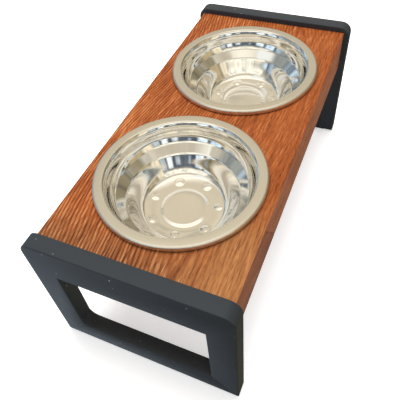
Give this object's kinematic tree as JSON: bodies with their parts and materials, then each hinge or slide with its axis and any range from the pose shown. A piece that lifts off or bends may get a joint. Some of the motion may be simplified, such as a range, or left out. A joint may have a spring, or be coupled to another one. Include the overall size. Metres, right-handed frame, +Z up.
{
  "type": "elevated dog feeder",
  "caption": "Raised dog feeder: a shallow brushed-wood box between black end frames, with stainless bowls that lift out of round holes in its top.",
  "frame": {"origin": "on the floor, under the middle of the box", "axes": "+Z up, X along the box, -Y towards the long side that shows in the picture, -X towards the end that is near the camera"},
  "size_m": [0.506, 0.24, 0.202],
  "materials": {
    "brushed_wood": "brushed open grain, red-brown oil stain",
    "red_wood": "sanded, redder oil stain",
    "apron_wood": "sanded, red-brown oil stain",
    "raw_wood": "planed, unfinished",
    "dowel_wood": "turned, unfinished",
    "black_paint": "smooth satin black paint on board",
    "zinc": "zinc plated",
    "pad_rubber": "matt",
    "bowl_steel": "stainless, polished inside, satin rim"
  },
  "bodies": {
    "stand": {"top_panel": "brushed_wood", "front_apron_left": "red_wood", "front_apron_right": "apron_wood", "rear_apron": "apron_wood", "apron_splice": "raw_wood", "splice_screws": "zinc", "left_end_rail": "raw_wood", "right_end_rail": "raw_wood", "left_rail_dowels": "dowel_wood", "right_rail_dowels": "dowel_wood", "left_frame": "black_paint", "right_frame": "black_paint", "left_frame_screws": "zinc", "right_frame_screws": "zinc", "left_front_pad": "pad_rubber", "left_rear_pad": "pad_rubber", "right_front_pad": "pad_rubber", "right_rear_pad": "pad_rubber"},
    "left_bowl": {"left_bowl": "bowl_steel"},
    "right_bowl": {"right_bowl": "bowl_steel"}
  },
  "joints": [
    {"name": "left_bowl_lift", "type": "slide", "parent": "stand", "child": "left_bowl", "axis": [0, 0, 1], "range_m": [0, 0.08]},
    {"name": "right_bowl_lift", "type": "slide", "parent": "stand", "child": "right_bowl", "axis": [0, 0, 1], "range_m": [0, 0.08]}
  ]
}
